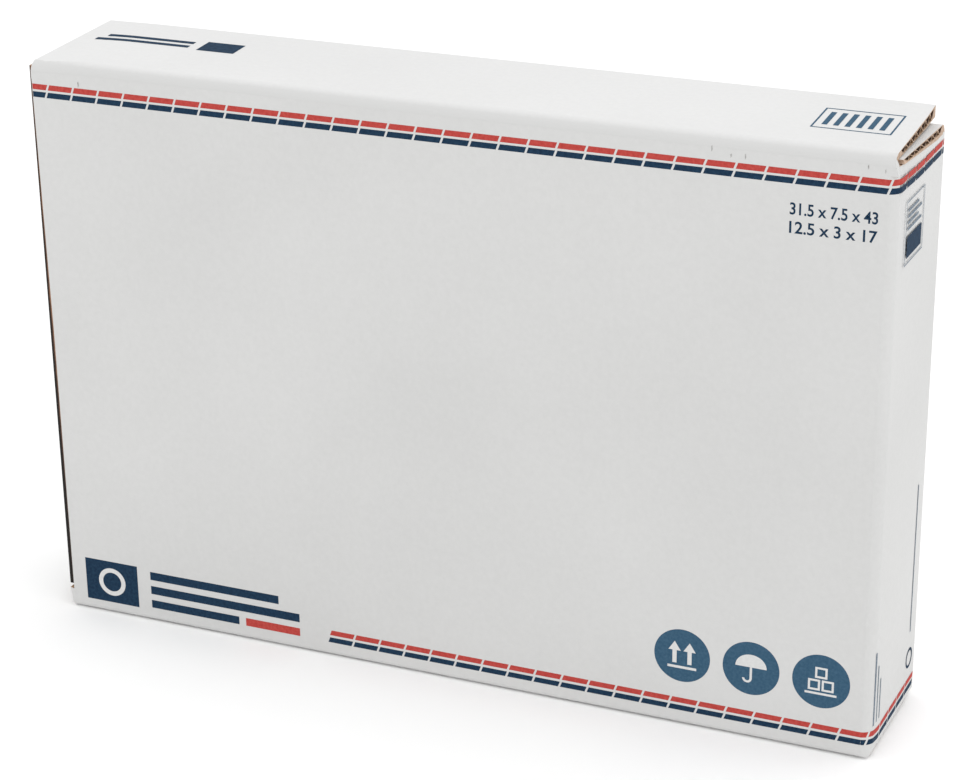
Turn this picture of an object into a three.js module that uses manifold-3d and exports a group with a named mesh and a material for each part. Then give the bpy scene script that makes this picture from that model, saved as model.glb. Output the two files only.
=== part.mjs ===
// A shallow shipping box folded from one sheet of corrugated board, standing on a long narrow side.
// Units are millimetres. +X runs along the box to its right end, +Y to the back, +Z up.
// The origin is the middle of the box's footprint, on the surface that it stands on.
//
// The sheet wraps round the long way: fold-over flap, front, bottom, back and inner flap.
// Each end is closed by two layers, one folded off the front and one folded off the back.
// The fold-over flap is a mesh of its own, because it hinges on the front panel's top edge.

import * as THREE from "three";
import { mergeVertices } from "three/addons/utils/BufferGeometryUtils.js";
import Module from "manifold-3d";

// Driving dimensions of the box
const box_length = 453;
const box_depth = 74;
const box_height = 308;

// The board: two flat liners with a waved medium between them
const board = 4.2;
const liner = 0.5;
const medium = 0.45;
const flute_pitch = 8.7;
const flute_steps = 10;
const edge_wall = 1.2;

// Outer radii of the folds
const soft_fold_radius = 6;
const crisp_fold_radius = 3.2;
const tight_fold_radius = 0.8;
const back_fold_radius = 5;
const arc_steps = 14;

// Clearances
const layer_gap = 0.3;
const crease_gap = 0.3;
const hinge_proud = 0.3;
const loose_gap = 0.6;
const join_overlap = 0.1;

// The fold-over flap: how far it springs up, and how its ends taper to the rear
const flap_lift_deg = 2.2;
const flap_left_inset_front = 3.5;
const flap_left_taper = 4.6;
const flap_right_inset_front = 3;
const flap_right_taper = 2.1;
const flap_rear_inset = 0.4;

// Both top flaps are pressed thinner towards the front, by these shares of the board.
const flap_front_share = 0.72;
const inner_flap_front_share = 0.56;

// The inner flap: its drop from the front edge to its fold at the back
const inner_flap_drop = 4.4;
const inner_flap_front_reach = 6.4;
const inner_flap_right_inset = 1.2;

// The end layers
const end_splay = 2.4;
const end_rear_inset = 0.4;
const left_edge_lean = 2;
const left_flap_foot = 11;
const left_flap_front_inset = 4.6;
const inner_end_stop = 5;
const foot_step = 0.4;
const foot_flare = 1.3;
const left_lip_top = 0.9;
const left_lip_foot = 2.2;

const half_length = box_length / 2;
const front_y = -box_depth / 2;
const back_y = box_depth / 2;
const lift = THREE.MathUtils.degToRad(flap_lift_deg);

// The front top fold is a ring of board about this centre, and it is parted at its middle.
const fold_y = front_y + soft_fold_radius;
const fold_z = box_height - soft_fold_radius;
const inside_radius = soft_fold_radius - board;
const flap_inside_radius = soft_fold_radius - board * flap_front_share;
const parting_angle = Math.PI * 0.75;

// The inner flap lies under the fold-over flap, and slopes down to its fold on the back panel.
const inner_front_z = box_height - board * flap_front_share - layer_gap;
const inner_back_z = inner_front_z - inner_flap_drop;

// The end layers are cut along the underside of the inner flap, and no higher than the fold.
const end_top_back = inner_back_z - board - layer_gap;
const inner_flap_rise = inner_flap_drop + board * (1 - inner_flap_front_share);
const end_slope = inner_flap_rise / (box_depth - inner_flap_front_reach);
const end_top_level_y = back_y - (fold_z - end_top_back) / end_slope;

// Planes of the two layers at each end, by their outer faces
const right_outer_back = half_length;
const right_outer_front = half_length - end_splay;
const right_inner = right_outer_front - board - loose_gap;
const left_outer = -half_length;
const left_inner = -half_length + board + layer_gap;

const wasm = await Module();
wasm.setup();

// A three.js geometry as a solid for joining and cutting
function solidOf(geometry) {
  const bare = geometry.clone();
  bare.deleteAttribute("normal");
  bare.deleteAttribute("uv");
  const merged = mergeVertices(bare, 1e-4);
  const mesh = new wasm.Mesh({
    numProp: 3,
    vertProperties: merged.attributes.position.array,
    triVerts: new Uint32Array(merged.index.array),
  });
  return new wasm.Manifold(mesh);
}

// A solid as a three.js geometry
function geometryOf(solid) {
  const mesh = solid.getMesh();
  const geometry = new THREE.BufferGeometry();
  const positions = new THREE.BufferAttribute(mesh.vertProperties, 3);
  geometry.setAttribute("position", positions);
  geometry.setIndex(new THREE.BufferAttribute(mesh.triVerts, 1));
  const loose = geometry.toNonIndexed();
  loose.computeVertexNormals();
  return loose;
}

function join(solids) {
  return solids.reduce((sum, solid) => sum.add(solid));
}

// A plan outline (x, y) raised from z low to z high
function raised(shape, low, high) {
  const geometry = new THREE.ExtrudeGeometry(shape, {
    depth: high - low,
    bevelEnabled: false,
  });
  geometry.translate(0, 0, low);
  return geometry;
}

// A cross-section (y, z) drawn out from x low to x high
function drawn(shape, low, high) {
  const geometry = new THREE.ExtrudeGeometry(shape, {
    depth: high - low,
    bevelEnabled: false,
  });
  const turn = new THREE.Matrix4().makeBasis(
    new THREE.Vector3(0, 1, 0),
    new THREE.Vector3(0, 0, 1),
    new THREE.Vector3(1, 0, 0),
  );
  geometry.applyMatrix4(turn);
  geometry.translate(low, 0, 0);
  return geometry;
}

function arcPoints(centre, radius, from, to) {
  const points = [];
  for (let i = 0; i <= arc_steps; i += 1) {
    const angle = from + ((to - from) * i) / arc_steps;
    const x = centre.x + radius * Math.cos(angle);
    const y = centre.y + radius * Math.sin(angle);
    points.push(new THREE.Vector2(x, y));
  }
  return points;
}

// A strip of board from the corners of its outer face, listed anticlockwise.
// Each corner is {x, y, radius}; the board's thickness lies to the left of the line.
function foldedStrip(corners) {
  const at = corners.map((c) => new THREE.Vector2(c.x, c.y));
  const outer = [];
  const inner = [];
  at.forEach((point, i) => {
    const back = i > 0 ? point.clone().sub(at[i - 1]).normalize() : null;
    const ahead = i < at.length - 1 ? at[i + 1].clone().sub(point).normalize() : null;
    if (!back || !ahead) {
      const along = ahead || back;
      const left = new THREE.Vector2(-along.y, along.x);
      outer.push(point);
      inner.push(point.clone().addScaledVector(left, board));
      return;
    }
    const turn = Math.acos(back.dot(ahead));
    const radius = corners[i].radius;
    const reach = radius * Math.tan(turn / 2);
    const left = new THREE.Vector2(-back.y, back.x);
    const start = point.clone().addScaledVector(back, -reach);
    const centre = start.clone().addScaledVector(left, radius);
    const from = Math.atan2(-left.y, -left.x);
    outer.push(...arcPoints(centre, radius, from, from + turn));
    if (radius > board) {
      inner.push(...arcPoints(centre, radius - board, from, from + turn));
      return;
    }
    const nextLeft = new THREE.Vector2(-ahead.y, ahead.x);
    const bisector = left.clone().add(nextLeft);
    const mitre = board / (1 + left.dot(nextLeft));
    inner.push(point.clone().addScaledVector(bisector, mitre));
  });
  return new THREE.Shape([...outer, ...inner.reverse()]);
}

// The hollows between the waved medium and the liners, for a straight run of board.
// The run starts at origin on the outer face and follows along; inward points into the board.
// The board's thickness is full at one end of the run, and a share of it at the other.
function fluteHollows(origin, along, inward, length, shareAt, low, high) {
  const swing = board / 2 - liner - medium / 2;
  const count = Math.floor((length - 2 * edge_wall) / flute_pitch);
  const margin = (length - count * flute_pitch) / 2;
  const place = (s, depth) => {
    const inside = depth * shareAt(s / length);
    return origin.clone().addScaledVector(along, s).addScaledVector(inward, inside);
  };
  const hollows = [];
  for (const side of [1, -1]) {
    const flat = side > 0 ? liner : board - liner;
    const cells = side > 0 ? count : count - 1;
    for (let k = 0; k < cells; k += 1) {
      const middle = margin + (k + (side > 0 ? 0.5 : 1)) * flute_pitch;
      const wave = [];
      for (let i = 0; i <= flute_steps; i += 1) {
        const s = middle + (i / flute_steps - 0.5) * flute_pitch * 0.88;
        const phase = ((s - middle) / flute_pitch) * 2 * Math.PI;
        const depth = board / 2 + side * (swing * Math.cos(phase) - medium / 2);
        wave.push(place(s, depth));
      }
      const first = middle - flute_pitch * 0.44;
      const last = middle + flute_pitch * 0.44;
      const outline = new THREE.Shape([place(first, flat), ...wave, place(last, flat)]);
      hollows.push(solidOf(drawn(outline, low, high)));
    }
  }
  return join(hollows);
}

// A radius line of the front top fold, moved sideways by half of the parting gap
function partingAngle(radius, side) {
  return parting_angle + (side * crease_gap) / 2 / radius;
}

const fold_centre = new THREE.Vector2(fold_y, fold_z);

// The fold-over flap, from the middle of the front top fold to its free rear edge
function foldOverFlap() {
  const top_angle = Math.PI / 2 + lift;
  const along = new THREE.Vector2(Math.cos(lift), Math.sin(lift));
  const inward = new THREE.Vector2(Math.sin(lift), -Math.cos(lift));
  const outer = arcPoints(
    fold_centre,
    soft_fold_radius,
    partingAngle(soft_fold_radius, -1),
    top_angle,
  );
  const inner = arcPoints(
    fold_centre,
    flap_inside_radius,
    top_angle,
    partingAngle(flap_inside_radius, -1),
  );
  const start = outer[outer.length - 1];
  const length = (back_y - flap_rear_inset - board * Math.sin(lift) - start.x) / along.x;
  const end = start.clone().addScaledVector(along, length);
  const end_inside = end.clone().addScaledVector(inward, board);
  const section = new THREE.Shape([...outer, end, end_inside, ...inner]);
  const sheet = solidOf(drawn(section, -half_length, half_length));
  const share = (t) => flap_front_share + (1 - flap_front_share) * t;
  const hollows = fluteHollows(start, along, inward, length, share, -box_length, box_length);

  const left_front = -half_length + flap_left_inset_front;
  const right_front = half_length - flap_right_inset_front;
  const outline = new THREE.Shape([
    new THREE.Vector2(left_front, front_y - board),
    new THREE.Vector2(right_front, front_y - board),
    new THREE.Vector2(right_front, front_y),
    new THREE.Vector2(right_front - flap_right_taper, back_y + board),
    new THREE.Vector2(left_front + flap_left_taper, back_y + board),
    new THREE.Vector2(left_front, front_y),
  ]);
  const trim = solidOf(raised(outline, fold_z - board, box_height + box_depth));
  return sheet.intersect(trim).subtract(hollows);
}

// The front panel's top edge: the lower half of the front top fold
function frontTopFold() {
  const outer = arcPoints(
    fold_centre,
    soft_fold_radius,
    partingAngle(soft_fold_radius, 1),
    Math.PI,
  );
  const inner = arcPoints(
    fold_centre,
    inside_radius,
    Math.PI,
    partingAngle(inside_radius, 1),
  );
  const foot = fold_z - board;
  const section = new THREE.Shape([
    ...outer,
    new THREE.Vector2(front_y, foot),
    new THREE.Vector2(front_y + board, foot),
    ...inner,
  ]);
  const left = -half_length + flap_left_inset_front;
  const right = half_length - flap_right_inset_front;
  return solidOf(drawn(section, left, right));
}

// Front, bottom and back panels, as one wrapped strip
function wrappedPanels() {
  const section = foldedStrip([
    { x: front_y, y: fold_z - board },
    { x: front_y, y: 0, radius: crisp_fold_radius },
    { x: back_y, y: 0, radius: crisp_fold_radius },
    { x: back_y, y: end_top_back + layer_gap + join_overlap },
  ]);
  const left = left_outer + back_fold_radius + join_overlap;
  const right = right_inner - back_fold_radius - join_overlap;
  return solidOf(drawn(section, left, right));
}

// The lowest part of the same strip runs on to both ends, under the end layers.
function wrappedFoot() {
  const top = left_flap_foot - loose_gap;
  const section = foldedStrip([
    { x: front_y, y: top },
    { x: front_y, y: 0, radius: crisp_fold_radius },
    { x: back_y, y: 0, radius: crisp_fold_radius },
    { x: back_y, y: top },
  ]);
  const geometry = drawn(section, left_inner - foot_step, right_inner);
  const position = geometry.getAttribute("position");
  for (let i = 0; i < position.count; i += 1) {
    const flare = position.getX(i) < 0 ? (foot_flare * position.getZ(i)) / top : 0;
    position.setX(i, position.getX(i) - flare);
  }
  return solidOf(geometry);
}

// The front panel's left edge stands out past the inner layer, further towards the top.
function leftLip() {
  const low = left_flap_foot - loose_gap;
  const foot_x = left_inner + left_lip_foot;
  const outline = new THREE.Shape([
    new THREE.Vector2(foot_x, low),
    new THREE.Vector2(foot_x + board, low),
    new THREE.Vector2(foot_x + board, fold_z),
    new THREE.Vector2(left_inner - left_lip_top, fold_z),
  ]);
  const geometry = new THREE.ExtrudeGeometry(outline, { depth: board, bevelEnabled: false });
  geometry.rotateX(Math.PI / 2);
  geometry.translate(0, front_y + board, 0);
  return solidOf(geometry);
}

// The inner flap, from its fold on the back panel to its free edge behind the front panel
function innerFlap() {
  const free_y = front_y + inner_flap_front_reach;
  const along = new THREE.Vector2(free_y - back_y, inner_flap_drop).normalize();
  const inward = new THREE.Vector2(-along.y, along.x);
  const corner = new THREE.Vector2(back_y, inner_back_z);
  const free = new THREE.Vector2(free_y, inner_front_z);
  const root = new THREE.Vector2(back_y, end_top_back + layer_gap);
  const start = corner.clone().addScaledVector(along, board);
  const length = start.distanceTo(free);
  const centre = start.clone().addScaledVector(inward, board);
  const share = (t) => 1 - (1 - inner_flap_front_share) * t;
  const section = new THREE.Shape([
    root,
    ...arcPoints(centre, board, 0, Math.atan2(-inward.y, -inward.x)),
    free,
    free.clone().addScaledVector(inward, board * share(1)),
    centre,
    new THREE.Vector2(back_y - board, root.y),
  ]);
  const right = half_length - inner_flap_right_inset;
  const sheet = solidOf(drawn(section, left_inner + layer_gap, right));
  const hollows = fluteHollows(start, along, inward, length, share, -box_length, box_length);
  return sheet.subtract(hollows);
}

// Cuts a raised outline along the underside of the inner flap
function endTrim(foot) {
  const profile = new THREE.Shape([
    new THREE.Vector2(front_y - board, foot),
    new THREE.Vector2(back_y + board, foot),
    new THREE.Vector2(back_y + board, end_top_back - end_slope * board),
    new THREE.Vector2(end_top_level_y, fold_z),
    new THREE.Vector2(front_y - board, fold_z),
  ]);
  return solidOf(drawn(profile, -box_length, box_length));
}

// Front panel with the outer layer of the right end and the inner layer of the left end
function frontAndEnds() {
  const plan = foldedStrip([
    { x: left_inner, y: back_y - inner_end_stop },
    { x: left_inner, y: front_y, radius: tight_fold_radius },
    { x: right_outer_front, y: front_y, radius: soft_fold_radius },
    { x: right_outer_back, y: back_y - end_rear_inset },
  ]);
  const geometry = raised(plan, 0, box_height);
  const position = geometry.getAttribute("position");
  for (let i = 0; i < position.count; i += 1) {
    const beyond = position.getX(i) < 0 ? left_edge_lean : 0;
    const lean = beyond * (1 - position.getZ(i) / box_height);
    position.setX(i, position.getX(i) + lean);
  }
  return solidOf(geometry).intersect(endTrim(layer_gap));
}

// Outer layer of the left end, folded off the back panel
function leftOuterLayer() {
  const plan = foldedStrip([
    { x: left_inner + back_fold_radius + board, y: back_y },
    { x: left_outer, y: back_y, radius: back_fold_radius },
    { x: left_outer, y: front_y + left_flap_front_inset },
  ]);
  return solidOf(raised(plan, left_flap_foot, inner_front_z));
}

// Inner layer of the right end, folded off the back panel
function rightInnerLayer() {
  const plan = foldedStrip([
    { x: right_inner, y: front_y + board + loose_gap },
    { x: right_inner, y: back_y, radius: back_fold_radius },
    { x: right_inner - back_fold_radius - board, y: back_y },
  ]);
  return solidOf(raised(plan, 0, box_height)).intersect(endTrim(board + loose_gap));
}

// Rounds the bottom front edge where the ends' layers meet the bottom fold
function bottomEdgeRounding() {
  const centre = new THREE.Vector2(front_y + crisp_fold_radius, crisp_fold_radius);
  const arc = arcPoints(centre, crisp_fold_radius, Math.PI, Math.PI * 1.5);
  const low = new THREE.Vector2(centre.x, -board);
  const corner = new THREE.Vector2(front_y - board, -board);
  const high = new THREE.Vector2(front_y - board, centre.y);
  const outside = new THREE.Shape([low, corner, high, ...arc]);
  return solidOf(drawn(outside, -box_length, box_length));
}

function cartonBody() {
  const whole = join([
    wrappedPanels(),
    wrappedFoot(),
    frontTopFold(),
    innerFlap(),
    frontAndEnds(),
    leftLip(),
    leftOuterLayer(),
    rightInnerLayer(),
  ]);
  return whole.subtract(bottomEdgeRounding());
}

// White-faced board, brown inside
const board_white = new THREE.MeshStandardMaterial({
  color: 0xe4e4e2,
  roughness: 0.75,
  metalness: 0,
});

const hinge_radius = soft_fold_radius + hinge_proud;
const hinge_y = fold_y + hinge_radius * Math.cos(parting_angle);
const hinge_z = fold_z + hinge_radius * Math.sin(parting_angle);

const carton = new THREE.Group();

const body = new THREE.Mesh(geometryOf(cartonBody()), board_white);
body.name = "carton_body";
carton.add(body);

// The flap's group sits on its hinge line, so that turning the group opens the flap.
const hinge = new THREE.Group();
hinge.position.set(0, hinge_y, hinge_z);
const flap = new THREE.Mesh(geometryOf(foldOverFlap()), board_white);
flap.name = "fold_over_flap";
flap.geometry.translate(0, -hinge_y, -hinge_z);
hinge.add(flap);
carton.add(hinge);

export default carton;
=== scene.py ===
# %% [markdown]
# # A shallow shipping box with a fold-over flap
#
# The box is one sheet of white-faced corrugated board, folded into a case 453 mm long,
# 74 mm deep and 308 mm high. It stands on a long narrow side. Its outer top flap is sprung up
# a little, so the cut ends of two layers of board show as a V at the right.
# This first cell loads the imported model, which is the frame for every piece below.

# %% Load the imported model
import math

import bmesh
import bpy
from mathutils import Matrix, Vector


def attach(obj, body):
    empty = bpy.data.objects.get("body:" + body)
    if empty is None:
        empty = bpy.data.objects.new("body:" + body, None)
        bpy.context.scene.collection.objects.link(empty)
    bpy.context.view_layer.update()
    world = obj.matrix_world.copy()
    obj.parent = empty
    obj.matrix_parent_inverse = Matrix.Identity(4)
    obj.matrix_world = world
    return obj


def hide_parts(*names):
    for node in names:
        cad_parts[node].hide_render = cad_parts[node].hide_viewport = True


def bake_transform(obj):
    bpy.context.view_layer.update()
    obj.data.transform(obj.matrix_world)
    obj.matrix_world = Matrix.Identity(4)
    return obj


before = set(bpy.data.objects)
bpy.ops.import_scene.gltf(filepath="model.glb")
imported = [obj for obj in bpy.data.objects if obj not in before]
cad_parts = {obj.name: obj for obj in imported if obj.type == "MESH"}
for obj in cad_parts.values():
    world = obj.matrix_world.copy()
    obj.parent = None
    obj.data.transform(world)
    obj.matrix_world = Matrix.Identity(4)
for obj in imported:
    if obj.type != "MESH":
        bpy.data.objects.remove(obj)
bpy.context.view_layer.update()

# %% [markdown]
# ## Sizes
#
# The print has to meet the board all round, so its places are worked out from the box's
# own lengths. They could be read off the model's meshes, but a name says what a length is for.
# Lengths in this file are in millimetres until a mesh is made, and they repeat the model's.
# The printed faces are drawn a hair inside the board's outer faces, so that ink can lie on them.

# %% Sizes in millimetres
MM = 0.001

LENGTH = 453.0
DEPTH = 74.0
HEIGHT = 308.0
BOARD = 4.2
FOLD_RADIUS = 6.0
FLUTE_PITCH = 8.7
FLAP_LIFT = math.radians(2.2)
END_SPLAY = 2.4

HALF = LENGTH / 2
FRONT = -DEPTH / 2
BACK = DEPTH / 2
FOLD_Y = FRONT + FOLD_RADIUS
FOLD_Z = HEIGHT - FOLD_RADIUS
SKIN_INSET = 0.06
INK = 0.025
print("box:", LENGTH, "x", DEPTH, "x", HEIGHT, "mm, board", BOARD, "mm thick")

# %% [markdown]
# ## Helpers for materials
#
# Paper and ink differ in colour and grain, but each is built from the same few shader nodes.
# They could be wired by hand in the Shader Editor. A short function for each node keeps
# the recipes below short, and a grain is changed in one place.

# %% Helpers for materials
def new_material(name, rough):
    mat = bpy.data.materials.new(name)
    mat.use_nodes = True
    shader = mat.node_tree.nodes["Principled BSDF"]
    shader.inputs["Roughness"].default_value = rough
    return mat, mat.node_tree, shader


def object_coords(tree):
    return tree.nodes.new("ShaderNodeTexCoord").outputs["Object"]


def split_axes(tree, coords):
    split = tree.nodes.new("ShaderNodeSeparateXYZ")
    tree.links.new(coords, split.inputs["Vector"])
    return split.outputs


def add_noise(tree, coords, scale, detail):
    noise = tree.nodes.new("ShaderNodeTexNoise")
    noise.inputs["Scale"].default_value = scale
    noise.inputs["Detail"].default_value = detail
    tree.links.new(coords, noise.inputs["Vector"])
    return noise.outputs["Fac"]


def add_ramp(tree, value, stops):
    ramp = tree.nodes.new("ShaderNodeValToRGB")
    elements = ramp.color_ramp.elements
    elements[0].position, elements[0].color = stops[0][0], (*stops[0][1], 1)
    elements[1].position, elements[1].color = stops[-1][0], (*stops[-1][1], 1)
    for position, colour in stops[1:-1]:
        elements.new(position).color = (*colour, 1)
    tree.links.new(value, ramp.inputs["Fac"])
    return ramp.outputs["Color"]


def add_math(tree, kind, *values):
    """A Math node, whose inputs are numbers or other nodes' outputs."""
    node = tree.nodes.new("ShaderNodeMath")
    node.operation = kind
    for socket, value in zip(node.inputs, values):
        if isinstance(value, (int, float)):
            socket.default_value = value
        else:
            tree.links.new(value, socket)
    return node.outputs[0]


def add_bump(tree, shader, height, strength, distance):
    bump = tree.nodes.new("ShaderNodeBump")
    bump.inputs["Strength"].default_value = strength
    bump.inputs["Distance"].default_value = distance
    tree.links.new(height, bump.inputs["Height"])
    tree.links.new(bump.outputs["Normal"], shader.inputs["Normal"])


print("material helpers ready")

# %% [markdown]
# ## White board
#
# White-faced board has a matt paper coat. Under raking light it shows a faint washboard,
# because the liner sinks a little between the flutes, and fine grey mottling from the pulp.
# The washboard could be real geometry, but it is thinner than a hair, so a bump is enough.
# It is a sine wave along one axis: height on the upright panels, depth on the top.

# %% White board
def white_board(name, axis, low, high):
    mat, tree, shader = new_material(name, 0.62)
    coords = object_coords(tree)
    # Long soft drift of the coat, with pulp mottling on top of it
    drift = add_math(tree, "MULTIPLY", add_noise(tree, coords, 9, 2), 0.6)
    pulp = add_math(tree, "MULTIPLY", add_noise(tree, coords, 420, 5), 0.4)
    tone = add_math(tree, "ADD", drift, pulp)
    colour = add_ramp(tree, tone, [(0.32, low), (0.66, high)])
    tree.links.new(colour, shader.inputs["Base Color"])
    # Washboard: one wave for each flute
    turn = 2 * math.pi / (FLUTE_PITCH * MM)
    along = split_axes(tree, coords)[axis]
    wave = add_math(tree, "SINE", add_math(tree, "MULTIPLY", along, turn))
    fine = add_math(tree, "MULTIPLY", add_noise(tree, coords, 900, 3), 0.35)
    height = add_math(tree, "ADD", add_math(tree, "MULTIPLY", wave, 0.5), fine)
    add_bump(tree, shader, height, 0.35, 0.00009)
    return mat


# Painted light and shade: one coat, painted lighter on the top and darker on the upright panels, as the
# light falls on them.
upright_shaded_white = white_board("upright_shaded_white", "Z", (0.592, 0.592, 0.585), (0.635, 0.635, 0.628))
level_lit_white = white_board("level_lit_white", "Y", (0.655, 0.655, 0.652), (0.70, 0.70, 0.697))
print("white board:", upright_shaded_white.name, level_lit_white.name)

# %% [markdown]
# ## Kraft board
#
# The sheet is white on one side only. Its cut edges, its inner liner and the paper of its
# flutes are bare brown kraft, darker the less light gets to them. One flat brown would look
# like plastic, so a stretch of noise runs between two browns and also roughens the surface.

# %% Kraft board
def kraft_board(name, dark, light, scale):
    mat, tree, shader = new_material(name, 0.85)
    fibre = add_noise(tree, object_coords(tree), scale, 6)
    tree.links.new(add_ramp(tree, fibre, [(0.3, dark), (0.7, light)]), shader.inputs["Base Color"])
    add_bump(tree, shader, fibre, 0.4, 0.00012)
    return mat


kraft_edge = kraft_board("kraft_edge", (0.33, 0.21, 0.14), (0.62, 0.47, 0.36), 900)
# Painted shade: the inner liner's darker brown and the flutes' near-black stand in for the shade between
# the liners and inside the box.
kraft_inside_shaded = kraft_board("kraft_inside_shaded", (0.30, 0.185, 0.105), (0.42, 0.28, 0.17), 260)
flute_shade = kraft_board("flute_shade", (0.035, 0.015, 0.008), (0.10, 0.05, 0.03), 700)
print("kraft board:", kraft_edge.name, kraft_inside_shaded.name, flute_shade.name)

# %% [markdown]
# ## Painted shadow in the joint at the left
#
# Beside the front panel's left edge the end's outer layer stands back, and a shadow fills
# the step. In flat studio light a step this shallow would hardly darken by itself. So the
# step's face gets a ramp from nearly black at the box's outer left to brown beside the panel,
# with some noise for a torn look. The brown widens with height.

# %% Painted shadow in the joint at the left
JOINT_OUTER = 226.6
JOINT_WIDE = 4.4


def joint_shadow_material():
    mat, tree, shader = new_material("groove_shade", 0.9)
    coords = object_coords(tree)
    axes = split_axes(tree, coords)
    inward = add_math(
        tree, "MULTIPLY_ADD", axes["X"], 1 / (JOINT_WIDE * MM), JOINT_OUTER / JOINT_WIDE
    )
    torn = add_math(tree, "MULTIPLY", add_noise(tree, coords, 90, 3), 0.2)
    rise = add_math(tree, "MULTIPLY", axes["Z"], 1.45)
    place = add_math(tree, "ADD", add_math(tree, "ADD", inward, rise), torn)
    stops = [(0.52, (0.008, 0.006, 0.005)), (0.66, (0.06, 0.026, 0.014)), (0.8, (0.36, 0.19, 0.11))]
    tree.links.new(add_ramp(tree, place, stops), shader.inputs["Base Color"])
    return mat


groove_shade = joint_shadow_material()
print("joint:", groove_shade.name)

# %% [markdown]
# ## Paper round the front top fold
#
# The front and the top are painted in slightly different whites, a painted shade on the front
# and a painted highlight on the top, as the coat catches the light. A hard change of material
# at the fold would show as a line. So the fold's own paper runs from the front's painted tone
# to the top's, by a ramp over about 7 mm of height.

# %% Paper round the front top fold
FOLD_BLEND = 7
FOLD_BLEND_FROM = 301.5


def fold_shading_material():
    mat, tree, shader = new_material("fold_shading_white", 0.62)
    coords = object_coords(tree)
    high = split_axes(tree, coords)["Z"]
    place = add_math(
        tree, "MULTIPLY_ADD", high, 1 / (FOLD_BLEND * MM), -FOLD_BLEND_FROM / FOLD_BLEND
    )
    pulp = add_math(tree, "MULTIPLY", add_noise(tree, coords, 420, 5), 0.16)
    place = add_math(tree, "ADD", place, pulp)
    # The ramp is painted light and shade, from the front's shaded white to the top's lit white.
    stops = [(0.1, (0.612, 0.612, 0.605)), (0.72, (0.60, 0.60, 0.595)), (1.02, (0.68, 0.68, 0.677))]
    tree.links.new(add_ramp(tree, place, stops), shader.inputs["Base Color"])
    return mat


fold_shading_white = fold_shading_material()
print("fold:", fold_shading_white.name)

# %% [markdown]
# ## Ink
#
# Flexographic ink on board is matt and slightly uneven: a little board shows through it.
# An image of the print could carry that. Noise between two near tones needs no image,
# and it stays sharp in a close view.

# %% Ink
def ink(name, low, high):
    mat, tree, shader = new_material(name, 0.7)
    shader.inputs["Specular IOR Level"].default_value = 0.15
    cover = add_noise(tree, object_coords(tree), 650, 5)
    tree.links.new(add_ramp(tree, cover, [(0.35, low), (0.72, high)]), shader.inputs["Base Color"])
    return mat


navy_ink = ink("navy_ink", (0.004, 0.022, 0.052), (0.012, 0.042, 0.085))
blue_ink = ink("blue_ink", (0.030, 0.085, 0.145), (0.050, 0.115, 0.185))
red_ink = ink("red_ink", (0.42, 0.045, 0.038), (0.52, 0.075, 0.062))
grey_ink = ink("grey_ink", (0.12, 0.16, 0.21), (0.26, 0.30, 0.34))
bare_board = ink("bare_board", (0.64, 0.64, 0.635), (0.70, 0.70, 0.695))
scuff_ink = ink("scuff_grey", (0.30, 0.29, 0.28), (0.52, 0.52, 0.51))
print("materials so far:", len(bpy.data.materials))

# %% [markdown]
# ## Heights and thickness at the top
#
# The fold-over flap rises to the rear from the front fold. The inner flap below it comes
# from the back and falls to the rear. Both are pressed thinner towards the front. All of
# these are straight lines, so a short function gives each height or thickness at a depth y.

# %% Heights and thickness at the top
FLAP_RUN = 67.6
FLAP_ROOT = -31.2
FLAP_PRESSED = 0.72
INNER_FRONT = -30.6
INNER_PRESSED = 0.56
INNER_TOP = 304.676
INNER_DROP = 4.4
END_TOP = 302.0
END_TOP_REAR = 295.776
END_TOP_SLOPE = 0.09243


def flap_top(y):
    """Height of the fold-over flap's upper face at depth y."""
    root_y = FOLD_Y - FOLD_RADIUS * math.sin(FLAP_LIFT)
    root_z = FOLD_Z + FOLD_RADIUS * math.cos(FLAP_LIFT)
    return root_z + (y - root_y) * math.tan(FLAP_LIFT)


def inner_flap_top(y):
    """Height of the inner flap's upper face at depth y."""
    return INNER_TOP - INNER_DROP * (y - INNER_FRONT) / FLAP_RUN


def end_top(y):
    """Height of the end layers' cut tops at depth y."""
    return min(END_TOP, END_TOP_REAR + END_TOP_SLOPE * (BACK - y))


def flap_thick(y):
    return BOARD * (FLAP_PRESSED + (1 - FLAP_PRESSED) * (y - FLAP_ROOT) / FLAP_RUN)


def inner_thick(y):
    return BOARD * (INNER_PRESSED + (1 - INNER_PRESSED) * (y - INNER_FRONT) / FLAP_RUN)


for name, top in (("flap", flap_top), ("inner flap", inner_flap_top), ("end layers", end_top)):
    print(name, "top, front to rear:", round(top(FRONT), 2), round(top(BACK), 2))

# %% [markdown]
# ## Which face is what
#
# The model's two solids already have the true folds and flutes, and they need only a finish.
# The sheet's outer side is white, its cut edges are bare kraft, and what lies between
# the liners or inside the box gets painted shade. The faces could be picked by hand in Edit Mode.
# Sorting them by where they lie and which way they face gives the same result on every run.

# %% Sort the body's faces
UPRIGHT, LEVEL, EDGE, INSIDE, FLUTE, JOINT_SHADOW = range(6)
FINISHES = (upright_shaded_white, level_lit_white, kraft_edge, kraft_inside_shaded, flute_shade, groove_shade)
LINER = 0.7
JOINT_X = -222.1
WALL_X = 219


def lower_hollow(n, deep, thick):
    """Whether a face belongs to the flutes' lower hollows, whose painted shade is paler than the upper's.
    """
    return n.z < 0 and deep > LINER or n.z > 0.9 and deep > thick - LINER


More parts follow.
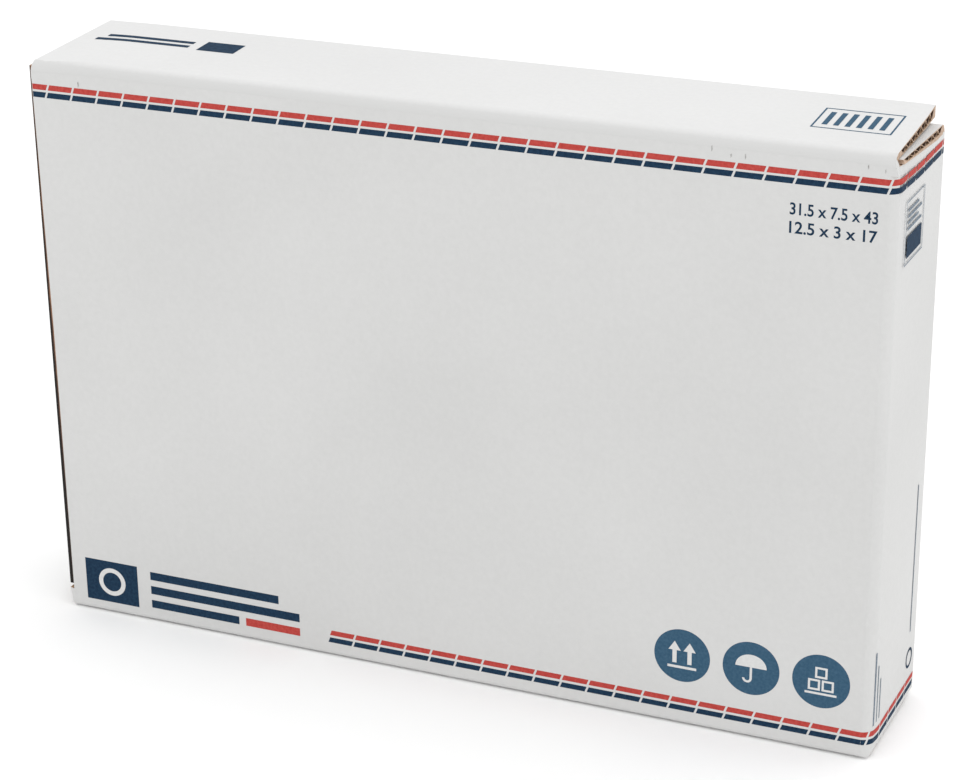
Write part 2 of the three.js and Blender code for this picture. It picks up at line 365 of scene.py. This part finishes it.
def body_slot(c, n):
    """A body face's finish, from its centre in millimetres and its normal."""
    deep = inner_flap_top(c.y) - c.z
    # The step beside the front panel's left edge, which gets the painted shadow
    if n.y < -0.9 and -33 < c.y < -32 and c.x < JOINT_X and c.z > 10:
        return JOINT_SHADOW
    # The front, except what faces forward beside the joint
    if n.y < -0.03 and c.y < -31.1 and not (c.y > -33 and c.z > 10.2 and c.x < JOINT_X):
        return UPRIGHT
    # The right end, then the left end and the front right fold
    if n.x > 0.5 and c.x > WALL_X + 0.5 and c.z < end_top(c.y) + 0.1:
        return UPRIGHT
    if n.x < -0.5 and c.x < -WALL_X or n.x > 0.5 and c.y < -33:
        return UPRIGHT
    # The back, except the rear edges of the right end's layers
    if n.y > 0.3 and c.y > 32 and not (c.x > 221 and c.z < 299):
        return UPRIGHT
    # The bottom
    if n.z < -0.3 and c.z < 2:
        return LEVEL
    # The inner flap's top and the back fold
    if n.z > 0.5 and abs(deep) < 0.2 or n.z > 0.3 and c.y > 32.6 and c.z > 298.5 and deep < 0.25:
        return LEVEL
    # Between the inner flap's liners
    if c.z > 295 and 0.2 < deep < 4.1 and abs(n.x) < 0.5 and -30.4 < c.y < 33:
        return INSIDE if lower_hollow(n, deep, inner_thick(c.y)) else FLUTE
    return EDGE if c.z > 294 or abs(n.y) > 0.9 and abs(c.x) > WALL_X else INSIDE


print("finishes for the faces:", [mat.name for mat in FINISHES])

# %% [markdown]
# ## The fold-over flap's faces
#
# The flap has a white upper side that runs round the fold, bare cut edges at its two ends
# and along its rear, and open flutes between its liners. It is sorted in the same way.

# %% Sort the flap's faces
def flap_slot(c, n):
    """A flap face's finish, from its centre in millimetres and its normal."""
    deep = flap_top(c.y) - c.z
    thick = flap_thick(c.y)
    outer = math.hypot(c.y - FOLD_Y, c.z - FOLD_Z) > FOLD_RADIUS - 0.3
    if n.z > 0.5 and deep < 0.2:
        return LEVEL
    if n.z > 0.05 and n.y < 0 and c.y < FOLD_Y and outer:
        return LEVEL
    if abs(n.x) > 0.9 or n.y > 0.9 and c.y > 36:
        return EDGE
    brown = lower_hollow(n, deep, thick) or deep > thick - 0.12 or c.y < FOLD_Y
    return INSIDE if brown else FLUTE


print("flap thickness, root to rear:", round(flap_thick(FLAP_ROOT), 2), round(flap_thick(BACK), 2))

# %% [markdown]
# ## Soft board
#
# Board that has been handled gives way: the flap's ends sag, its right front corner is pulled
# in, and the right end's boards spring apart. A lattice or a cloth run could bend the meshes.
# A smooth step along each axis is simpler, and the same function bends the print with them.

# %% Sag at the top
LEFT_SAG = 1.5
CORNER_PULL = 1.7


def smooth(t):
    """A soft step from 0 to 1, with no kink at either end."""
    t = min(max(t, 0.0), 1.0)
    return t * t * (3 - 2 * t)


def settled(p):
    """A point of the top, in millimetres, let down where the soft board has given way."""
    soft = smooth((p.z - 299.5) / 5)
    if not soft:
        return p
    to_front = smooth((BACK - p.y) / DEPTH)
    left = LEFT_SAG * smooth((-188 - p.x) / 32) * (0.25 + 0.75 * to_front)
    right = (0.2 + 0.5 * to_front) * smooth((p.x - 211) / 12)
    pulled = CORNER_PULL * to_front * to_front * smooth((p.x - 212) / 11)
    return Vector((p.x - soft * pulled, p.y, p.z - soft * (left + right)))


corner_drop = flap_top(FRONT) - settled(Vector((-HALF, FRONT, flap_top(FRONT)))).z
print("sag at the front left corner:", round(corner_drop, 2), "mm")

# %% [markdown]
# ## Spring at the right end
#
# At the right end the layers have loosened: the inner flap and the outer layer's top stand
# higher towards the rear, the outer layer's foot is off the floor, and the fold-over flap
# is fuller. The rise is a straight line in depth, because a bend there would push
# the flutes through their liners.

# %% Spring at the right end
BOARD_SPRING = 2.4
FOOT_SPRING = 3.2
FLAP_SWELL = 1.6


def spring(p, most):
    return most * smooth((p.x - 206) / 16) * max(p.y + 30, 0) / 67


def sprung(p):
    """How far the right end's soft board stands above the solids, in millimetres."""
    if p.z < 1.2 and p.x > WALL_X + 0.38:
        return FOOT_SPRING * smooth((p.y + 36.5) / 5)
    rise = spring(p, BOARD_SPRING)
    if p.x > WALL_X and 294 < p.z < end_top(p.y) + 0.15:
        return rise
    if p.z < inner_flap_top(p.y) - 4.35 and p.y < 32:
        return 0
    # Round the back fold the rise fades out, from the top down to the back
    turned = math.atan2(p.z - 295.3, max(p.y - 32, 0.001)) * 2 / math.pi
    return rise * min(max(turned, 0), 1)


def swollen(p):
    """How far the loose right end of the flap has opened downward, in millimetres."""
    share = min(max((flap_top(p.y) - p.z) / flap_thick(p.y), 0), 1)
    return spring(p, -FLAP_SWELL * share)


print("spring at the rear right:", round(spring(Vector((HALF, BACK, 0)), BOARD_SPRING), 2), "mm")

# %% [markdown]
# ## Copies of the two solids
#
# The model's own meshes stay as they are, and a copy of each is painted, cut and bent.
# They come as loose triangles, so a copy is first merged into one closed skin.
# A mesh bends only where it has vertices, and the long liners have none between their ends.
# Subdividing would add faces everywhere, so flat cuts are made at the few places that bend.
# Smooth shading then hides the steps between the cuts. The model's own edges are kept sharp,
# or a wide flat would take on a tint from the small fold beside it.

# %% Paint and cut a copy
CUT_ABOVE = 294.5
CUTS_LEFT = (-219, -214, -209, -204, -198, -192, -186)
CUTS_RIGHT = (209, 212, 215, 218, 220, 222)
MERGE = 1e-6


def painted_copy(node, name, choose):
    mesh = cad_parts[node].data.copy()
    mesh.name = name
    mesh.materials.clear()
    for mat in FINISHES:
        mesh.materials.append(mat)
    counts = [0] * len(FINISHES)
    for poly in mesh.polygons:
        index = choose(poly.center / MM, poly.normal)
        poly.material_index = index
        counts[index] += 1
    print(name, "faces: upright, level, edge, inside, flute, joint", counts)
    return mesh


def cut_across(mesh):
    """Merge the loose triangles, and cut those near the top where its ends bend."""
    work = bmesh.new()
    work.from_mesh(mesh)
    bmesh.ops.remove_doubles(work, verts=work.verts, dist=MERGE)
    for edge in work.edges:
        edge.smooth = False
    for face in work.faces:
        face.smooth = True
    for at in CUTS_LEFT + CUTS_RIGHT:
        high = [f for f in work.faces if max(v.co.z for v in f.verts) > CUT_ABOVE * MM]
        rim = {e for f in high for e in f.edges} | {v for f in high for v in f.verts}
        bmesh.ops.bisect_plane(
            work, geom=[*high, *rim], plane_co=(at * MM, 0, 0), plane_no=(1, 0, 0)
        )
    work.to_mesh(mesh)
    work.free()


print("cuts:", len(CUTS_LEFT), "at the left,", len(CUTS_RIGHT), "at the right")

# %% [markdown]
# ## Bending a copy
#
# Each vertex is held a hair inside the solids, and then moved as the soft board is.
# A modifier with a vertex group could do the same, but the amounts depend on the place
# in more than one direction, which a function of the place says in one line each.

# %% Bend a copy
FOOT_TOP = 10.4
FOOT_RISE = 0.55


def bend(mesh, body):
    for vertex in mesh.vertices:
        x, y, z = vertex.co / MM
        x = math.copysign(min(abs(x), HALF - SKIN_INSET), x)
        y = math.copysign(min(abs(y), BACK - SKIN_INSET), y)
        lift = (sprung if body == "carton" else swollen)(Vector((x, y, z)))
        # The inner flap's right end reaches out a little further towards the rear
        if body == "carton" and x > 225.2 and z > end_top(y) + 0.2:
            x += 1.0 * smooth((y + 15) / 45)
        # The front panel's foot reaches a little higher at the left joint
        if body == "carton" and x < -222.2 and y < 0 and abs(z - FOOT_TOP) < 0.02:
            z += FOOT_RISE
        vertex.co = settled(Vector((x, y, max(z, SKIN_INSET) + lift))) * MM


def board_copy(node, name, body, choose):
    mesh = painted_copy(node, name, choose)
    cut_across(mesh)
    bend(mesh, body)
    piece = bpy.data.objects.new(name, mesh)
    bpy.context.collection.objects.link(piece)
    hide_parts(node)
    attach(piece, body)
    return piece


carton_board = board_copy("carton_body", "carton_board", "carton", body_slot)
flap_board = board_copy("fold_over_flap", "flap_board", "flap", flap_slot)
print("board faces after the cuts:", len(carton_board.data.polygons), len(flap_board.data.polygons))

# %% [markdown]
# ## The scored crease
#
# The fold-over flap turns on a scored line in the front top fold, and the paper runs on across
# it. The two solids part there, so a thin white strip covers the parting. It could belong
# to one side and slide over the other. Here it belongs to neither, and it follows the fold's
# curve and the top's sag.

# %% The scored crease
CREASE_FROM = 94
CREASE_TURN = 84


def crease_strip():
    vertices, faces = [], []
    columns, rows = 220, 24
    low, high = -HALF + 3.6, HALF - 3.1
    for j in range(rows + 1):
        angle = math.radians(CREASE_FROM + CREASE_TURN * j / rows)
        # The strip's two long edges dip just below the board's skin
        radius = FOLD_RADIUS + 0.03 - 0.05 * abs(2 * j / rows - 1) ** 4
        for i in range(columns + 1):
            x = low + (high - low) * i / columns
            y = max(FOLD_Y + radius * math.cos(angle), FRONT + 0.01)
            z = min(FOLD_Z + radius * math.sin(angle), HEIGHT + 2)
            vertices.append(settled(Vector((x, y, z))) * MM)
    for j in range(rows):
        for i in range(columns):
            a = j * (columns + 1) + i
            faces.append((a, a + 1, a + columns + 2, a + columns + 1))
    mesh = bpy.data.meshes.new("crease_paper")
    mesh.from_pydata(vertices, [], faces)
    mesh.materials.append(fold_shading_white)
    mesh.shade_smooth()
    return bpy.data.objects.new("crease_paper", mesh)


crease = crease_strip()
bpy.context.collection.objects.link(crease)
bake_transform(crease)
print("crease strip:", len(crease.data.polygons), "faces")

# %% [markdown]
# ## Where ink goes
#
# Ink has no thickness to speak of, so each print is a thin mesh a hair above the board.
# A texture could carry it, but a mesh keeps its edges sharp. Each printed face is drawn flat,
# in its own (u, v), and mapped onto the board. The front's drawing runs on round
# the front right fold to the right end, as the stripes do.

# %% Map a flat drawing onto the board
corner = Vector((HALF - END_SPLAY, FRONT))
wall_end = Vector((HALF, BACK - 0.4))
wall = (wall_end - corner).normalized()
fold_turn = math.acos(wall.x)
fold_reach = FOLD_RADIUS * math.tan(fold_turn / 2)
fold_centre = Vector((corner.x - fold_reach, FOLD_Y))
wall_start = fold_centre.x + FOLD_RADIUS * fold_turn
WALL_FRONT = -31.2


def on_skin(u, v, lift=INK):
    """u runs along the front and on round the right fold; v is the height."""
    over = SKIN_INSET - lift
    if u <= fold_centre.x:
        return Vector((u, FRONT + over, v)) * MM
    if u < wall_start:
        turned = (u - fold_centre.x) / FOLD_RADIUS
        radius = FOLD_RADIUS + lift
        x = fold_centre.x + radius * math.sin(turned)
        y = fold_centre.y - radius * math.cos(turned)
        return Vector((x, max(y, FRONT + over), v)) * MM
    start = fold_centre + FOLD_RADIUS * Vector((wall.y, -wall.x))
    along = start + wall * (u - wall_start)
    x = min(along.x + wall.y * lift, HALF - 0.01)
    return Vector((x, along.y - wall.x * lift, v)) * MM


def on_wall(u, v, lift=INK):
    """u is the depth on the right end, v the height."""
    return on_skin(wall_start + (u - WALL_FRONT), v, lift)


def on_top(u, v, lift=INK):
    """u is the place along the fold-over flap, v the depth."""
    return settled(Vector((u, v, flap_top(v) + lift + 0.05))) * MM


print("right fold turns", round(math.degrees(fold_turn), 2), "degrees, wall from u =", round(wall_start, 2))

# %% [markdown]
# ## One piece of ink
#
# A print is a handful of outlines, and each becomes one flat face. On the flap they are cut
# into short slices first, so that they follow its sag instead of bridging it.

# %% Turn outlines into a piece of ink
def slices(outline, step=1.5):
    """A four-sided outline cut across its length into short ones, to follow a curve."""
    a, b, c, d = outline
    count = max(1, math.ceil(abs(b[0] - a[0]) / step))

    def at(p, q, i):
        return (p[0] + (q[0] - p[0]) * i / count, p[1] + (q[1] - p[1]) * i / count)

    return [[at(a, b, i), at(a, b, i + 1), at(d, c, i + 1), at(d, c, i)] for i in range(count)]


def printed(name, shapes, place, mat, body, lift=INK):
    """One piece of ink from outlines in (u, v), each a list of points."""
    vertices, faces = [], []
    if place == on_top:
        shapes = [part for outline in shapes for part in slices(outline)]
    for outline in shapes:
        first = len(vertices)
        vertices += [place(u, v, lift) for u, v in outline]
        faces.append(tuple(range(first, first + len(outline))))
    mesh = bpy.data.meshes.new(name)
    mesh.from_pydata(vertices, [], faces)
    mesh.materials.append(mat)
    piece = bpy.data.objects.new(name, mesh)
    bpy.context.collection.objects.link(piece)
    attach(piece, body)
    print(name, "on the", body, "in", len(faces), "faces")


# %% [markdown]
# ## Outlines
#
# The print is made of four plain shapes: a bar, a ring or part of one, a round spot and
# an outlined panel. Each function gives a list of points, so shapes can be added together
# and printed as one piece.

# %% Bars, rings, spots and outlined panels
def bar(u0, v0, u1, v1):
    return [(u0, v0), (u1, v0), (u1, v1), (u0, v1)]


def ring(u, v, outer, inner, begin=0.0, turn=2 * math.pi, steps=40):
    """A ring about (u, v), or the part of it that a turn from begin covers."""
    shapes = []
    for i in range(steps):
        a, b = begin + turn * i / steps, begin + turn * (i + 1) / steps
        shapes.append([
            (u + outer * math.cos(a), v + outer * math.sin(a)),
            (u + outer * math.cos(b), v + outer * math.sin(b)),
            (u + inner * math.cos(b), v + inner * math.sin(b)),
            (u + inner * math.cos(a), v + inner * math.sin(a)),
        ])
    return shapes


def round_spot(u, v, radius, steps=64):
    turns = [2 * math.pi * i / steps for i in range(steps)]
    return [(u + radius * math.cos(t), v + radius * math.sin(t)) for t in turns]


def frame_lines(u0, v0, u1, v1, width):
    return [
        bar(u0, v0, u1, v0 + width),
        bar(u0, v1 - width, u1, v1),
        bar(u0, v0 + width, u0 + width, v1 - width),
        bar(u1 - width, v0 + width, u1, v1 - width),
    ]


print("a ring has", len(ring(0, 0, 2, 1)), "parts, an outlined panel", len(frame_lines(0, 0, 9, 9, 1)))

# %% [markdown]
# ## One dash
#
# The box wears bands of slanted dashes, red over navy, along its top and its foot. One dash
# is a small slanted grid, not a single face, so that it can bend round the right fold.

# %% One dash
DASH_LENGTH = 13.35
DASH_HEIGHT = 2.9
DASH_SLANT = 1.1
DASH_PITCH = 14.48


def dash_mesh(name, parts=32, levels=6):
    vertices, faces = [], []
    for i in range(parts + 1):
        for j in range(levels + 1):
            x = DASH_LENGTH * i / parts + DASH_SLANT * j / levels
            vertices.append((x, 0, DASH_HEIGHT * j / levels))
    for i in range(parts):
        for j in range(levels):
            a = i * (levels + 1) + j
            faces.append((a, a + levels + 1, a + levels + 2, a + 1))
    mesh = bpy.data.meshes.new(name)
    mesh.from_pydata(vertices, [], faces)
    return bpy.data.objects.new(name, mesh)


print("dash:", DASH_LENGTH, "x", DASH_HEIGHT, "mm, one every", DASH_PITCH, "mm")

# %% [markdown]
# ## A row of dashes
#
# An Array modifier could repeat the dash. A node group does it with named inputs:
# the dash, the count, the pitch and the material. A mesh line gives one point for each dash,
# the dash is laid on every point, and the copies are made real so that they can be bent.

# %% A node group that lays out a row
def row_group():
    tree = bpy.data.node_groups.new("dash_row", "GeometryNodeTree")
    face = tree.interface
    face.new_socket("Geometry", in_out="OUTPUT", socket_type="NodeSocketGeometry")
    for name, kind in (
        ("Dash", "NodeSocketObject"),
        ("Count", "NodeSocketInt"),
        ("Pitch", "NodeSocketVector"),
        ("Material", "NodeSocketMaterial"),
    ):
        face.new_socket(name, in_out="INPUT", socket_type=kind)
    inputs = tree.nodes.new("NodeGroupInput").outputs
    line = tree.nodes.new("GeometryNodeMeshLine")
    dash = tree.nodes.new("GeometryNodeObjectInfo")
    laid = tree.nodes.new("GeometryNodeInstanceOnPoints")
    real = tree.nodes.new("GeometryNodeRealizeInstances")
    painted = tree.nodes.new("GeometryNodeSetMaterial")
    out = tree.nodes.new("NodeGroupOutput")
    link = tree.links.new
    link(inputs["Count"], line.inputs["Count"])
    link(inputs["Pitch"], line.inputs["Offset"])
    link(inputs["Dash"], dash.inputs["Object"])
    link(line.outputs["Mesh"], laid.inputs["Points"])
    link(dash.outputs["Geometry"], laid.inputs["Instance"])
    link(laid.outputs["Instances"], real.inputs["Geometry"])
    link(real.outputs["Geometry"], painted.inputs["Geometry"])
    link(inputs["Material"], painted.inputs["Material"])
    link(painted.outputs["Geometry"], out.inputs["Geometry"])
    return tree


dash_rows = row_group()
print("node group:", dash_rows.name, "with", len(dash_rows.nodes), "nodes")

# %% [markdown]
# ## Laying a row on the board
#
# A band starts at the front panel's left edge or part of the way along, and ends at the rear
# of the right end, where it has come down a little. The node group's result is made a plain
# mesh, and each vertex is then moved from the flat drawing to the board. Vertices past
# the panel's edge or the rear are drawn in to it, which cuts a dash off there.

# %% Lay a row on the board
def laid_row(name, count, mat):
    """The node group's result as a plain mesh."""
    dash = dash_mesh(name + "_dash")
    bpy.context.collection.objects.link(dash)
    host = bpy.data.objects.new(name, bpy.data.meshes.new(name + "_host"))
    bpy.context.collection.objects.link(host)
    nodes = host.modifiers.new("row", "NODES")
    nodes.node_group = dash_rows
    sockets = {s.name: s.identifier for s in dash_rows.interface.items_tree if s.in_out == "INPUT"}
    nodes[sockets["Dash"]] = dash
    nodes[sockets["Count"]] = count
    nodes[sockets["Pitch"]] = (DASH_PITCH, 0, 0)
    nodes[sockets["Material"]] = mat
    bpy.context.view_layer.update()
    depsgraph = bpy.context.evaluated_depsgraph_get()
    mesh = bpy.data.meshes.new_from_object(host.evaluated_get(depsgraph))
    host.modifiers.clear()
    host.data = mesh
    mesh.name = name
    bpy.data.objects.remove(dash)
    return host


def panel_left(z):
    """Where the front panel's left edge stands at height z, a little way in."""
    if z < 15:
        return -222.0
    return -222.7 + 3.1 * (END_TOP - z) / (END_TOP - FOOT_TOP)


band_end = wall_start + 67.5


def dash_row(name, start, level, tilt, wall_drop, run, mat):
    """A row from u = start to the rear of the right end, which it meets lower by wall_drop."""
    host = laid_row(name, int((band_end - start) / DASH_PITCH) + 2, mat)
    for vertex in host.data.vertices:
        z = level + vertex.co.z
        u = min(max(start + vertex.co.x, panel_left(z)), band_end)
        drop = wall_drop * smooth((u - fold_centre.x - 4) / run)
        vertex.co = on_skin(u, z + tilt * u - drop)
    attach(host, "carton")
    print(name, "in", len(host.data.polygons), "faces")


dash_row("top_red_row", -228.3, 292.8, 0.0018, 1.4, 40, red_ink)
dash_row("top_navy_row", -229.3, 288.8, 0.0018, 1.4, 40, navy_ink)
dash_row("foot_red_row", -66.5, 12.1, 0.0, 2.0, 14, red_ink)
dash_row("foot_navy_row", -67.5, 7.9, 0.0, 2.0, 14, navy_ink)

# %% [markdown]
# ## Handling marks
#
# Three blue spots near the lower right corner tell how to handle the box. Each spot is one
# round face, and its white sign lies just above it, as bare board would show through the ink.

# %% Three blue spots
SPOTS = [(127.5, 38.7), (163.0, 38.7), (198.4, 38.7)]
OVERPRINT = INK + 0.02
printed("handling_spots", [round_spot(u, v, 14.5) for u, v in SPOTS], on_skin, blue_ink, "carton")

# %% [markdown]
# ## Signs on the spots
#
# The signs are plain handling pictograms: two arrows on a line for which way is up,
# an umbrella for keep dry, and three stacked boxes. Each is drawn from bars, arcs
# and triangles about its spot's centre, so a spot can be moved without redrawing its sign.

# %% Two arrows, an umbrella and stacked boxes
def up_arrows(u, v):
    shapes = [bar(u - 7.5, v - 7.2, u + 7.5, v - 5.8)]
    for side in (-3.9, 3.9):
        shapes.append(bar(u + side - 1.1, v - 4.4, u + side + 1.1, v + 2.6))
        shapes.append([(u + side - 3.2, v + 2.6), (u + side + 3.2, v + 2.6), (u + side, v + 7.6)])
    return shapes


def umbrella(u, v):
    arc = [math.pi * i / 20 for i in range(21)]
    dome = [(u + 8 * math.cos(t), v + 0.6 + 7 * math.sin(t)) for t in arc]
    hook = ring(u - 1.9, v - 5.6, 2.5, 1.3, math.pi, math.pi, 8)
    return [dome, bar(u - 0.6, v - 5.6, u + 0.6, v + 0.6), *hook]


def stacked_boxes(u, v):
    shapes = [bar(u - 8, v - 7.4, u + 8, v - 6.2)]
    shapes += frame_lines(u - 6.5, v - 5.2, u - 0.4, v + 0.8, 1.1)
    shapes += frame_lines(u + 0.4, v - 5.2, u + 6.5, v + 0.8, 1.1)
    shapes += frame_lines(u - 3.1, v + 1.6, u + 3.1, v + 7.6, 1.1)
    return shapes


marks = up_arrows(*SPOTS[0]) + umbrella(*SPOTS[1]) + stacked_boxes(*SPOTS[2])
printed("handling_marks", marks, on_skin, bare_board, "carton", OVERPRINT)

# %% [markdown]
# ## Print in the lower left corner
#
# A plain block with an open ring and three ruled bars fills the corner. The ring is printed
# over the block in the board's own tone, which saves cutting a hole in the block.

# %% Block, ring and bars
printed("corner_block", [bar(-213, 6.5, -181, 31)], on_skin, navy_ink, "carton")
printed("corner_ring", ring(-197, 18.8, 8.2, 5.6), on_skin, bare_board, "carton", OVERPRINT)
rules = [bar(-173, 24.6, -96, 29.4), bar(-173, 16.2, -84, 21), bar(-173, 8, -120, 12.6)]
printed("corner_bars", rules, on_skin, navy_ink, "carton")
printed("corner_red_bar", [bar(-116, 8, -84, 12.6)], on_skin, red_ink, "carton")

# %% [markdown]
# ## Numbers
#
# Two lines of plain numbers stand at the upper right, under the stripes: the inside size
# in centimetres and in inches. A Text object draws them and is made a mesh at once. Each
# line is then fitted to a measured height and width, whatever the font's own proportions.

# %% Numbers
def numbers(name, words, u, v, height, width, mat):
    curve = bpy.data.curves.new(name, "FONT")
    curve.body = words
    curve.offset = 0.018
    shape = bpy.data.objects.new(name + "_curve", curve)
    bpy.context.collection.objects.link(shape)
    bpy.context.view_layer.update()
    depsgraph = bpy.context.evaluated_depsgraph_get()
    mesh = bpy.data.meshes.new_from_object(shape.evaluated_get(depsgraph))
    bpy.data.objects.remove(shape)
    xs = [p.co.x for p in mesh.vertices]
    ys = [p.co.y for p in mesh.vertices]
    for p in mesh.vertices:
        a = (p.co.x - min(xs)) / (max(xs) - min(xs))
        b = (p.co.y - min(ys)) / (max(ys) - min(ys))
        p.co = on_skin(u + a * width, v + b * height)
    mesh.materials.clear()
    mesh.materials.append(mat)
    mesh.name = name
    piece = bpy.data.objects.new(name, mesh)
    bpy.context.collection.objects.link(piece)
    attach(piece, "carton")
    print(name, "in", len(mesh.polygons), "faces")


numbers("size_numbers", "31.5 x 7.5 x 43", 174.2, 274.4, 5.9, 41, navy_ink)
numbers("size_numbers_small", "12.5 x 3 x 17", 174.2, 265.5, 5.9, 41, navy_ink)

# %% [markdown]
# ## Scuffs
#
# Short grey rubs lie just under the front top fold, where boxes knock against each other.
# A painted mask would do for many. For six, small slanted shapes in a thin grey ink are
# quicker and stay where they are put.

# %% Scuffs
RUBS = (
    (136.5, 303.0, 0.5, 3.2), (145.6, 300.0, 0.7, 2.0), (152.5, 300.8, 0.5, 3.0),
    (209.5, 302.0, 0.5, 2.4), (217.4, 300.9, 0.5, 2.2), (-196.0, 299.0, 0.7, 3.4),
)
rubs = []
for u, v, wide, tall in RUBS:
    rubs.append([(u, v - tall), (u + wide, v - tall * 0.6), (u + wide * 0.6, v), (u - 0.2, v - 0.6)])
printed("fold_scuffs", rubs, on_skin, scuff_ink, "carton", 0.05)

# %% [markdown]
# ## Print on the right end
#
# A small outlined panel with bars stands high on the right end, and columns of bars and
# a ring stand low on it. The end splays a little to the rear, so shapes drawn flat in x
# would sink into it. They are drawn by depth and height and go through the end's own map.

# %% Print on the right end
label = frame_lines(-22.5, 250.5, 7, 281.5, 0.6)
label += [bar(-19.5, 267 + 3.0 * i, 3 - 5 * (i % 2), 268.3 + 3.0 * i) for i in range(4)]
printed("end_label_lines", label, on_wall, grey_ink, "carton")
printed("end_label_block", [bar(-19.5, 253.5, 4, 264)], on_wall, navy_ink, "carton")
columns = [bar(-33.0 + 4.4 * i, 17, -31.6 + 4.4 * i, 57 - 9 * (i % 3)) for i in range(3)]
columns += [bar(26.2, 40, 27.4, 121)]
printed("end_columns", columns, on_wall, grey_ink, "carton")
printed("end_ring", ring(27, 25, 5.5, 4.0), on_wall, navy_ink, "carton")

# %% [markdown]
# ## Print on the flap
#
# The flap carries a block, two bars and a blue outlined panel, and they ride on the flap,
# so they turn with it when it opens. They use the map for the top, which sags as the board
# does.

# %% Print on the flap
printed("flap_block", [bar(-150, 3, -129, 17)], on_top, navy_ink, "flap")
flap_bars = [bar(-206, 11.2, -156, 14.6), bar(-210, 5.0, -156, 8.4)]
printed("flap_bars", flap_bars, on_top, navy_ink, "flap")
stamp = frame_lines(175, -12, 213, 16, 0.9)
stamp += [bar(179 + 5.4 * i, -7, 181.6 + 5.4 * i, 11) for i in range(6)]
printed("flap_stamp", stamp, on_top, blue_ink, "flap")

# %% [markdown]
# ## Floor
#
# A studio cove has no edge between floor and wall. A plane far wider than the view does
# the same from any side. It lies 0.3 mm low, so that it never shares a height with
# the box's bottom.

# %% Floor
bpy.ops.mesh.primitive_plane_add(size=30, location=(0, 0, -0.0003))
floor = bpy.context.object
floor.name = "floor"
floor_mat, floor_tree, floor_shader = new_material("floor_white", 0.9)
floor_shader.inputs["Base Color"].default_value = (0.95, 0.95, 0.95, 1)
floor.data.materials.append(floor_mat)
print("floor:", floor.dimensions.x, "m wide")

# %% [markdown]
# ## Light
#
# A white sky gives the flat, nearly shadowless light of a cove. One broad lamp above
# the right end lifts the top and the right wall over the front. A sun with a wide angle
# does that from any distance, where an area lamp would have to be placed and sized.

# %% Light
world = bpy.data.worlds.new("studio")
bpy.context.scene.world = world
world.use_nodes = True
sky = world.node_tree.nodes["Background"]
sky.inputs["Color"].default_value = (1, 1, 1, 1)
sky.inputs["Strength"].default_value = 1.0

sun_data = bpy.data.lights.new("key", "SUN")
sun_data.energy = 0.75
sun_data.angle = math.radians(60)
sun = bpy.data.objects.new("key", sun_data)
sun.rotation_euler = Vector((-0.38, 0.05, -1.0)).to_track_quat("-Z", "Y").to_euler()
bpy.context.collection.objects.link(sun)
print("sky strength", sky.inputs["Strength"].default_value, "and sun", sun_data.energy)

# %% [markdown]
# ## Camera
#
# The photograph's camera was fitted to the box's corners, and its axes and place are given
# here as they came out. The lens is written from its focal length in pixels, because that
# is what a fit to a picture gives.

# %% Camera
SENSOR = 36
FOCAL_PIXELS = 2629.6
FRAME_WIDTH = 970

camera_data = bpy.data.cameras.new("camera")
camera_data.sensor_fit = "HORIZONTAL"
camera_data.sensor_width = SENSOR
camera_data.lens = SENSOR * FOCAL_PIXELS / FRAME_WIDTH
camera_data.clip_start = 0.05
camera = bpy.data.objects.new("camera", camera_data)
right = Vector((0.92226, 0.38642, -0.01048))
up = Vector((-0.14061, 0.36062, 0.92205))
away = right.cross(up)
turn = Matrix((right, up, away)).transposed().to_4x4()
eye = Vector((486.97, -1129.83, 663.28)) * MM
camera.matrix_world = Matrix.Translation(eye) @ turn
bpy.context.collection.objects.link(camera)
bpy.context.scene.camera = camera
bpy.context.scene.view_settings.view_transform = "Standard"
print("lens:", round(camera_data.lens, 1), "mm, from", round(eye.length, 2), "m away")
